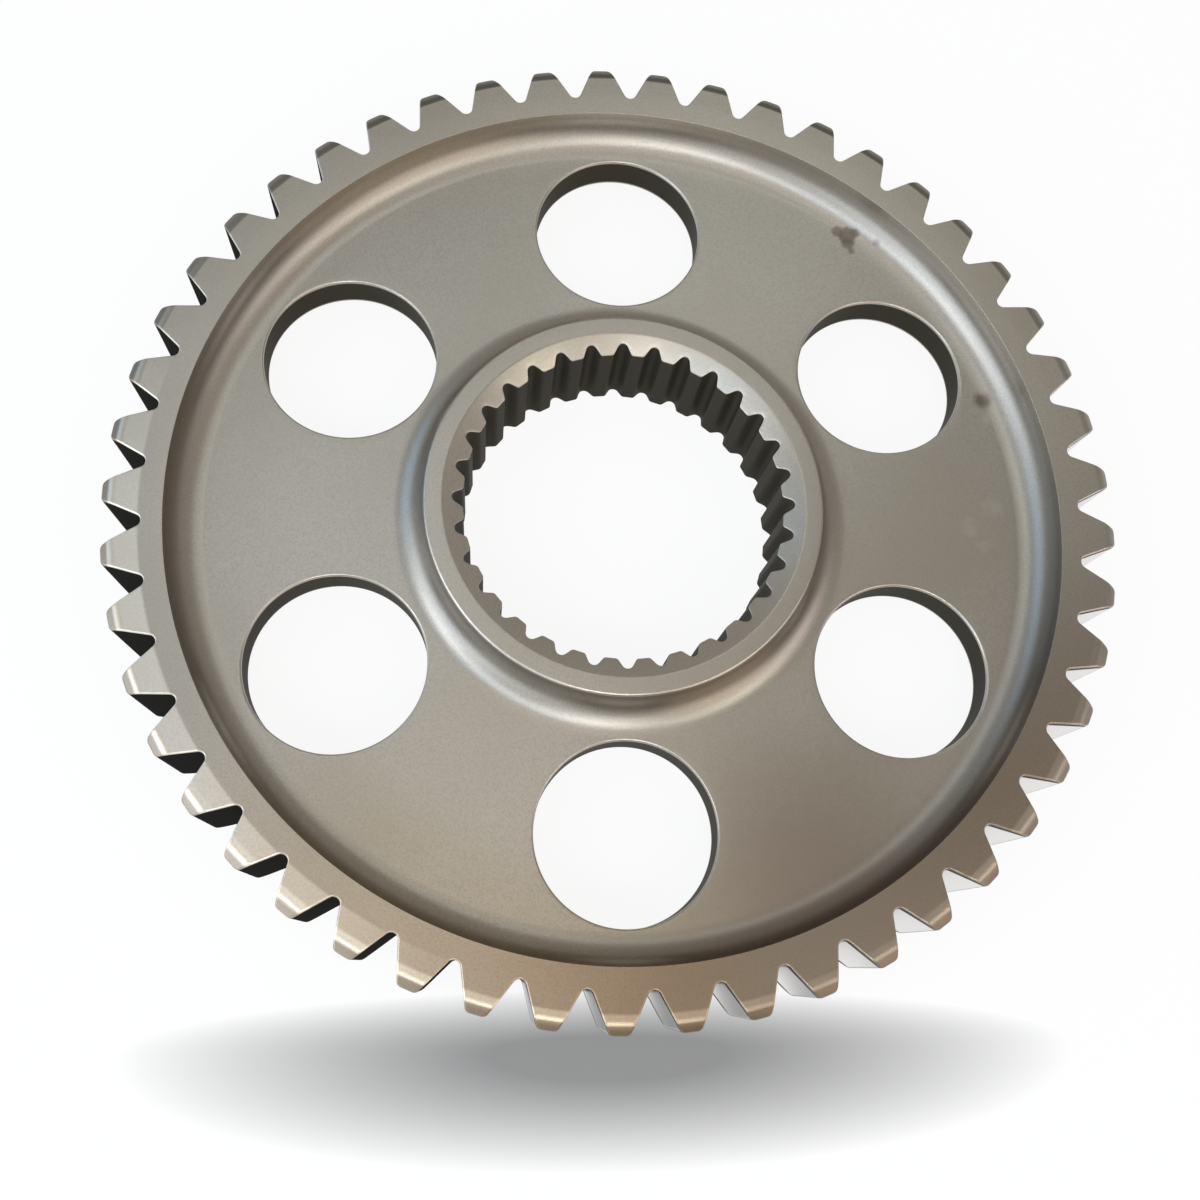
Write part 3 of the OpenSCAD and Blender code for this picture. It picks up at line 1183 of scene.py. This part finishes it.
class Sprocket:
    """The sprocket's visible surface, which stands for the CAD solid."""

    def __init__(self, finish: SteelFinish, effects: Effects) -> None:
        """Takes the sizes from the CAD node's box.

        Args:
            finish: Finish of the steel.
            effects: The shared node groups.
        """
        low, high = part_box(NODE)
        faces = Faces(rim=high.z / MM)
        self.finish, self.effects = finish, effects
        self.rim = ToothedRim(faces, tip_r=-low.x / MM)
        self.hub = SplinedHub(faces)
        self.web = Web(faces)

    def surface(self) -> Shell:
        """Builds the front half, mirrors it and joins the two halves along the walls.

        Returns:
            The closed surface.
        """
        shell = Shell()
        bore_wall, hub_edge = self.hub.build(shell)
        rim_edge, flank_wall = self.rim.build(shell)
        hole_walls = self.web.build(shell, hub_edge, rim_edge)
        shift = shell.mirror()
        shell.join(bore_wall.index + shift, bore_wall.index)
        shell.join(flank_wall.index, flank_wall.index + shift)
        shell.join(hole_walls + shift, hole_walls)
        return shell

    def build(self) -> bpy.types.Object:
        """Makes the piece, with its material, in place of the CAD node.

        Returns:
            The finished object.
        """
        piece = add_object("sprocket_steel", self.surface().mesh("sprocket_steel"))
        piece.data.materials.append(self.steel())
        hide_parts(NODE)
        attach(piece, BODY)
        return piece

    def steel(self) -> bpy.types.Material:
        """Makes the steel material: satin faces, dark walls, flanks with painted shade, polished flanks,
        and edges with a painted highlight.

        The flanks that the chain rubs are polished over its width. The walls and the rest of the
        flanks keep the scale, which is darker and duller where the WALL zone rises above 1: there the
        darkness is painted shade.

        Returns:
            The material.
        """
        finish = self.finish
        material, nodes, shader = new_material("satin_steel")
        place = nodes.place()
        grain = nodes.group(self.effects.grain, Place=place, Size=finish.grain)
        edge, wall = nodes.attribute(Zone.EDGE), nodes.attribute(Zone.WALL)
        off_middle = nodes.math("ABSOLUTE", nodes.split(place)["Z"])
        full = finish.chain_half_w - finish.chain_fade
        in_chain = nodes.math("SUBTRACT", 1.0, nodes.ramp(off_middle, full, finish.chain_half_w))
        rubbed = nodes.math("MULTIPLY", nodes.attribute(Zone.WORN), in_chain)
        scaled = nodes.math("SUBTRACT", wall, rubbed, clamp=True)
        painted_shade_flank = nodes.math("SUBTRACT", wall, 1.0, clamp=True)
        bare = self.face_colour(nodes, place, grain)
        # The broken edges and the lead-in chamfer are painted brighter: a painted highlight
        given = {0: bare, "Scale": nodes.blend(edge, 1.0, finish.edge_highlight_gain)}
        faces = nodes.node("ShaderNodeVectorMath", given, operation="SCALE").outputs["Vector"]
        # The flanks that the chain doesn't rub get the near-black painted shade
        colour = nodes.mix(scaled, faces, nodes.mix(painted_shade_flank, finish.scale, finish.flank_scale_and_shade))
        smooth = nodes.math("MAXIMUM", edge, rubbed)
        roughness = nodes.blend(smooth, finish.roughness, finish.rubbed_roughness)
        bump = nodes.node("ShaderNodeBump", {"Distance": finish.bump, "Height": grain})
        nodes.fill(shader, {
            "Base Color": nodes.mix(rubbed, colour, finish.rubbed),
            "Metallic": nodes.blend(scaled, 1.0, finish.scale_metallic),
            "Specular IOR Level": nodes.blend(
                scaled, finish.specular, nodes.blend(painted_shade_flank, finish.scale_specular, 0.0)
            ),
            "Roughness": nodes.blend(scaled, roughness, finish.scale_roughness),
            "Normal": bump.outputs["Normal"],
        })
        return material

    def face_colour(self, nodes: NodeTree, place: Socket, grain: Socket) -> Socket:
        """Adds the nodes for the colour of the faces, with the tints, the painted highlights and painted
        shade, and the spots.

        Args:
            nodes: Tree of the material.
            place: Place in the part's frame.
            grain: Speckle of the steel.

        Returns:
            The colour.
        """
        finish, effects = self.finish, self.effects
        colour = nodes.group(
            effects.tone, Place=place, Size=finish.cloud, Grain=grain,
            Base=finish.base, Warm=finish.warm, Dark=finish.dark,
        )
        for tint_and_painted_light in finish.tints_and_painted_light:
            mask = nodes.group(
                effects.tint_and_painted_light, Place=place, Toward=tint_and_painted_light.toward, Fade=tint_and_painted_light.fade,
                Inner=tint_and_painted_light.inner_r, Full=tint_and_painted_light.full_r,
            )
            colour = nodes.mix(mask, colour, tint_and_painted_light.tint, "MULTIPLY")
        for spot in finish.spots:
            mask = nodes.group(
                effects.spot, Place=place, Middle=spot.middle,
                Radius=spot.radius, Soft=spot.soft, Ragged=spot.ragged,
            )
            colour = nodes.mix(nodes.math("MULTIPLY", mask, spot.strength), colour, spot.colour)
        return colour


@dataclass
class PhotoCamera:
    """The camera of the photograph: its place in metres, what it looks at and its lens.

    Args:
        place: Where the camera stands.
        target: Point of the middle plane at the middle of the frame.
        roll: Clockwise turn of the camera about its line of sight, in degrees.
        focal: Focal length in pixels of the photograph.
        sensor: Width of the sensor in millimetres.
        clip: Nearest and farthest distance that it sees, in metres.
    """

    place: Place = (-0.0200, -0.0646, 0.1788)
    target: Place = (-0.0031, -0.0129, 0.0)
    roll: float = 0.5
    focal: float = 1261.9
    sensor: float = 36.0
    clip: tuple[float, float] = (0.005, 20)

    def build(self) -> None:
        """Makes the camera, with +Y upwards in the frame, and sets it as the scene's camera."""
        data = bpy.data.cameras.new("photo_camera")
        data.sensor_width = self.sensor
        data.lens = self.focal / PHOTO_SIDE * self.sensor
        data.clip_start, data.clip_end = self.clip
        camera = add_object("photo_camera", data)
        back = (Vector(self.place) - Vector(self.target)).normalized()
        right = Vector((0, 1, 0)).cross(back).normalized()
        axes = Matrix((right, back.cross(right), back)).transposed().to_4x4()
        turn = Matrix.Rotation(-math.radians(self.roll), 4, "Z")
        camera.matrix_world = Matrix.Translation(self.place) @ axes @ turn
        bpy.context.scene.camera = camera


@dataclass(frozen=True)
class Lamp:
    """A soft round lamp that faces the part.

    Args:
        name: Its name.
        azimuth: Direction it stands in, in degrees from the X axis, anticlockwise seen from the front.
        elevation: Its height over the faces, in degrees.
        spread: Half of the angle that it fills, seen from the part, in degrees.
        level: Brightness of its surface, where 1 is white.
        colour: Its linear colour.
        distance: Its distance from the part in metres.
    """

    name: str
    azimuth: float
    elevation: float
    spread: float
    level: float
    colour: Colour
    distance: float = 0.9

    def build(self) -> None:
        """Makes the lamp. Its power gives its surface the level: level times pi times its area."""
        radius = self.distance * math.tan(math.radians(self.spread))
        data = bpy.data.lights.new(self.name, "AREA")
        data.shape = "DISK"
        data.size = 2 * radius
        data.energy = self.level * math.pi * math.pi * radius**2
        data.color = self.colour
        lamp = add_object(self.name, data)
        a, e = math.radians(self.azimuth), math.radians(self.elevation)
        way = Vector((math.cos(a) * math.cos(e), math.sin(a) * math.cos(e), math.sin(e)))
        facing = way.to_track_quat("Z", "Y").to_matrix().to_4x4()
        lamp.matrix_world = Matrix.Translation(way * self.distance) @ facing


@dataclass(frozen=True)
class FloorShade:
    """A soft oval patch of painted shadow on the floor. Lengths are in metres.

    Args:
        middle: Its middle in plan.
        half_w: Half of its width along X.
        far: Its reach towards the part, along +Y.
        near: Its reach away from the part.
        darkest: Brightness of its middle as a picture value, where 1 is white.
        core: Share of its reach that is as dark as the middle.
    """

    middle: tuple[float, float] = (-0.0015, -0.0766)
    half_w: float = 0.0675
    far: float = 0.0085
    near: float = 0.0157
    darkest: float = 0.52
    core: float = 0.25

    def brightness(self, nodes: NodeTree) -> Socket:
        """Adds the nodes that give the floor's brightness, with the painted shadow.

        The distance to the middle is measured in shares of the patch's reach. From the core to
        the border the picture value rises evenly from darkest to 1, and a power of it is the
        linear brightness.

        Args:
            nodes: Tree of the floor's material.

        Returns:
            The linear brightness.
        """
        offset = nodes.split(nodes.vector("SUBTRACT", "Vector", nodes.place(), (*self.middle, 0)))
        across = nodes.math("DIVIDE", offset["X"], self.half_w)
        up = nodes.math("DIVIDE", nodes.math("MAXIMUM", offset["Y"], 0.0), self.far)
        down = nodes.math("DIVIDE", nodes.math("MINIMUM", offset["Y"], 0.0), self.near)
        along = nodes.math("ADD", up, down)
        squares = nodes.math("ADD", nodes.math("POWER", along, 2.0), nodes.math("POWER", across, 2.0))
        reach = nodes.math("SUBTRACT", nodes.math("SQRT", squares), self.core)
        share = nodes.math("DIVIDE", reach, 1 - self.core, clamp=True)
        value = nodes.math("MULTIPLY_ADD", share, 1 - self.darkest, self.darkest)
        return nodes.math("POWER", value, GAMMA)


@dataclass
class Studio:
    """Floor, lamps and surrounding light.

    Args:
        lamps: The lamps.
        surround: Colour of the surrounding light.
        floor_colour: Colour of the floor.
        floor_seen: Share of the floor's glow, white but for the painted shadow, as the camera and metal see
            it. The rest keeps the shadow.
        floor_roughness: Roughness of the floor.
        floor_side: Side of the floor in metres.
        shade: The soft grey patch on the floor below the part in the photograph.
    """

    lamps: tuple[Lamp, ...] = (
        Lamp("low_window", 198, 12, 28, 2.22, (0.71, 0.83, 1.00)),
        Lamp("left_window", 196, 46, 10, 5.49, (0.82, 0.90, 1.00)),
        Lamp("upper_window", 225, 58, 10, 3.30, (0.58, 0.77, 1.00)),
        Lamp("near_window", 240, 15, 18, 0.99, (0.81, 0.90, 1.00)),
        Lamp("near_lamp", 271, 42, 12, 2.49, (0.92, 0.99, 1.00)),
        Lamp("near_strip", 268, 58, 6, 11.50, (0.97, 0.99, 1.00)),
        Lamp("low_warm_lamp", 312, 20, 18, 1.21, (1.00, 0.81, 0.69)),
        Lamp("warm_lamp", 325, 50, 10, 3.30, (1.00, 0.97, 0.86)),
        Lamp("right_lamp", 345, 30, 12, 1.60, (0.98, 0.91, 1.00)),
        Lamp("ceiling_lamp", 0, 90, 8, 2.09, (1.00, 0.90, 0.78)),
        Lamp("top_lamp", 71, 59, 8, 2.00, (0.87, 0.98, 1.00)),
        Lamp("far_lamp", 119, 68, 8, 2.31, (0.78, 0.91, 1.00)),
        Lamp("far_fill", 150, 30, 16, 1.33, (0.33, 0.63, 1.00)),
    )
    surround: Colour = (0.409, 0.387, 0.358)
    floor_colour: Colour = (0.85, 0.85, 0.85)
    floor_seen: float = 0.9
    floor_roughness: float = 0.9
    floor_side: float = 4.0
    # A painted shadow below the part
    shade: FloorShade = FloorShade()

    def build(self) -> None:
        """Builds the world, the lamps and the floor."""
        world = bpy.data.worlds.new("surround")
        world.use_nodes = True
        nodes = NodeTree(world.node_tree)
        nodes.fill(nodes.tree.nodes["Background"], {"Color": self.surround, "Strength": 1})
        bpy.context.scene.world = world
        for lamp in self.lamps:
            lamp.build()
        self.floor()

    def floor(self) -> None:
        """Makes the floor, which the camera sees as nearly white, with the part's soft shadow and a painted
        shadow below it.
        """
        half = self.floor_side / 2
        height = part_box(NODE)[0].z
        corners = [(x * half, y * half, height) for x, y in ((-1, -1), (1, -1), (1, 1), (-1, 1))]
        mesh = bpy.data.meshes.new("floor")
        mesh.from_pydata(corners, [], [(0, 1, 2, 3)])
        floor = add_object("floor", mesh)
        material, nodes, shader = new_material("pale_floor")
        nodes.fill(shader, {
            "Base Color": self.floor_colour, "Roughness": self.floor_roughness, "Specular IOR Level": 0,
        })
        # The glow paints the shadow patch onto the floor for the camera and for the metal
        glow = nodes.node("ShaderNodeEmission", {"Strength": self.shade.brightness(nodes)})
        path = nodes.node("ShaderNodeLightPath").outputs
        shiny = nodes.math("MAXIMUM", path["Is Glossy Ray"], path["Is Transmission Ray"])
        direct = nodes.math("MAXIMUM", path["Is Camera Ray"], shiny)
        seen = nodes.math("MULTIPLY", direct, self.floor_seen)
        mixed = nodes.node("ShaderNodeMixShader", {0: seen, 1: shader.outputs[0], 2: glow.outputs[0]})
        nodes.fill(material.node_tree.nodes["Material Output"], {"Surface": mixed.outputs[0]})
        mesh.materials.append(material)


def main() -> None:
    """Builds the sprocket, the camera and the studio, and reports each piece."""
    logging.basicConfig(level=logging.INFO, format="%(name)s: %(message)s")
    bpy.context.scene.view_settings.view_transform = "Standard"
    piece = Sprocket(SteelFinish(), Effects()).build()
    log.info("%s: %d points, %d faces", piece.name, len(piece.data.vertices), len(piece.data.polygons))
    PhotoCamera().build()
    Studio().build()


if __name__ == "__main__":
    main()
